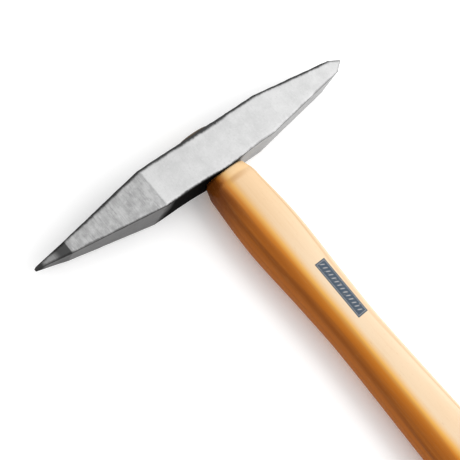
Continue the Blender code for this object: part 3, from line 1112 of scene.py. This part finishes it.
def make_bare_wood():
    material, place = new_finish("sawn hardwood")
    fibre = noisy(place, SAWN_FIBRE, detail=3.0)
    pores = noisy(place, PORES, detail=1.0).rise(0.55, 0.7)
    wood = fibre.rise(0.35, 0.7).between(CUT_PALE, CUT_BROWN)
    wood = wood.blend(PORE_BROWN, pores * 0.6)
    normal = bumped(fibre, FIBRE_DEPTH)
    inputs = {"Base Color": wood, "Roughness": 0.72 + pores * 0.15, "Normal": normal}
    return finished(material, principled(place, inputs))


def make_struck_steel():
    material, place = new_finish("struck steel strip")
    blows = noisy(place, BLOWS, detail=2.0)
    grit = noisy(place, STRUCK_GRIT, detail=2.0)
    steel = blows.rise(0.4, 0.65).between(STRUCK_DARK, STRUCK_BRIGHT)
    normal = bumped(blows * 0.8 + grit * 0.2, BLOW_DEPTH)
    inputs = {"Base Color": steel, "Metallic": 0.9, "Roughness": 0.38 + grit * 0.2, "Normal": normal}
    return finished(material, principled(place, inputs))


wedge_finishes = {"bare_wood": make_bare_wood(), "wedge_steel": make_struck_steel()}
print("wedge finishes:", sorted(wedge_finishes))

# %% Make the wedges
BROKEN_EDGE = 0.12 * MM
BEVEL_SEGMENTS = 2
CROWN_DEPTH = 30 * MM
CROWN_STRAIGHT = 1 * MM


def make_wedge(node, slot):
    made = wedge_copy(node, f"{node}_uncut")
    foot = (TOP - CROWN_DEPTH, *mouth)
    crown = swept(f"{node}_crown", [foot, *tenon_rows(0, TOP - CROWN_STRAIGHT, TOP), *crown_rows()])
    made = cut(made, crown, operation="INTERSECT")
    bevel = made.modifiers.new("broken_edges", "BEVEL")
    bevel.width = BROKEN_EDGE
    bevel.segments = BEVEL_SEGMENTS
    bevel.limit_method = "ANGLE"
    made = baked(made, f"{node}_finish")
    made.data.materials.clear()
    made.data.materials.append(wedge_finishes[slot])
    return made


wedges = {node: make_wedge(node, slot) for node, slot in wedge_slots.items()}
print("wedges:", {node: len(piece.data.polygons) for node, piece in wedges.items()})

# %% [markdown]
# ## Riding on the frame
#
# Nothing on a hammer moves against anything else, so every piece rides on the one body. Each stands for
# the CAD node that it replaces, and that node is hidden.

# %% Tell the frame about each piece
dressed = [(head, "hammer_head", "forged_steel"), (handle, "handle", "varnished_wood")]
dressed += [(wedges[node], node, slot) for node, slot in wedge_slots.items()]
for piece, node, slot in dressed:
    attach(piece, BODY)
    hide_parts(node)
    print(piece.name, "stands for", node, "in", slot)

# %% [markdown]
# ## A plain studio
#
# The hammer lies on a pale table that glows a little, so that its shadow stays soft. One large soft box
# stands towards the chisel, well away from where the ground faces would mirror it, and they answer it
# evenly. A smaller and lower one stands past the butt and lights the handle's flank on the chisel's side.
# The world is pale and lights everything from all round.

# %% Table
TABLE_SIZE = 24.0
TABLE_DROP = 0.2 * MM
TABLE_GLOW = 0.14
TABLE_CLOUD = (0.02, 0.02, 0.02)


def make_table():
    material, place = new_finish("pale table")
    pale = noisy(place, TABLE_CLOUD, detail=2.0).between(grey(0.94), grey(0.96))
    inputs = {"Base Color": pale, "Roughness": 0.8, "Specular IOR Level": 0.2}
    glow = {"Emission Color": grey(1), "Emission Strength": TABLE_GLOW}
    finished(material, principled(place, {**inputs, **glow}))
    mesh = bpy.data.meshes.new("table")
    half = TABLE_SIZE / 2
    corners = [(x * half, y * half, -TABLE_DROP) for x, y in ((-1, -1), (1, -1), (1, 1), (-1, 1))]
    mesh.from_pydata(corners, [], [(0, 1, 2, 3)])
    mesh.materials.append(material)
    return add_object("table", mesh)


make_table()
print("table", TABLE_SIZE, "m square")

# %% Lights
CENTRE = Vector((-0.01, -0.05, MIDDLE))
LIGHT_DISTANCE = 1.0
WORLD_STRENGTH = 0.8


def soft_box(name, direction, size, power):
    """A square area light that faces the hammer."""
    light = bpy.data.lights.new(name, "AREA")
    light.shape = "SQUARE"
    light.size = size
    light.energy = power
    box = add_object(name, light)
    box.location = CENTRE + Vector(direction).normalized() * LIGHT_DISTANCE
    box.rotation_euler = Vector(direction).to_track_quat("Z", "Y").to_euler()


soft_box("main_box", direction=(0.76, -0.20, 0.72), size=1.1, power=7.2)
soft_box("flank_box", direction=(0.40, -0.80, 0.55), size=0.7, power=1.5)

world = bpy.data.worlds.new("studio")
world.use_nodes = True
background = world.node_tree.nodes["Background"]
background.inputs["Color"].default_value = grey(1)
background.inputs["Strength"].default_value = WORLD_STRENGTH
bpy.context.scene.world = world
bpy.context.scene.view_settings.view_transform = "Standard"
print("two soft boxes and a pale world")

# %% [markdown]
# ## Camera
#
# The camera stands over the point's side of the hammer and is rolled, so that the head runs up to the
# right and the handle down to the right. It is placed by its direction from the hammer, as one walks round
# a table: azimuth, elevation and distance, then the roll.

# %% Place the camera
AIM = Vector((-9.5, -31.4, -0.5)) * MM
AZIMUTH = math.radians(-76.9)
ELEVATION = math.radians(58.0)
DISTANCE = 550 * MM
ROLL = math.radians(38.76)
LENS = 98.63
SENSOR = 36.0

outwards = Vector((
    math.sin(AZIMUTH) * math.cos(ELEVATION),
    -math.cos(AZIMUTH) * math.cos(ELEVATION),
    math.sin(ELEVATION),
))
level_right = Vector((math.cos(AZIMUTH), math.sin(AZIMUTH), 0))
right = math.cos(ROLL) * level_right + math.sin(ROLL) * outwards.cross(level_right)
facing = Matrix((right, outwards.cross(right), outwards)).transposed()

camera_data = bpy.data.cameras.new("camera")
camera_data.lens = LENS
camera_data.sensor_width = SENSOR
camera = add_object("camera", camera_data)
camera.location = AIM + outwards * DISTANCE
camera.rotation_euler = facing.to_euler()
bpy.context.scene.camera = camera
print("camera at", [round(value, 3) for value in camera.location])
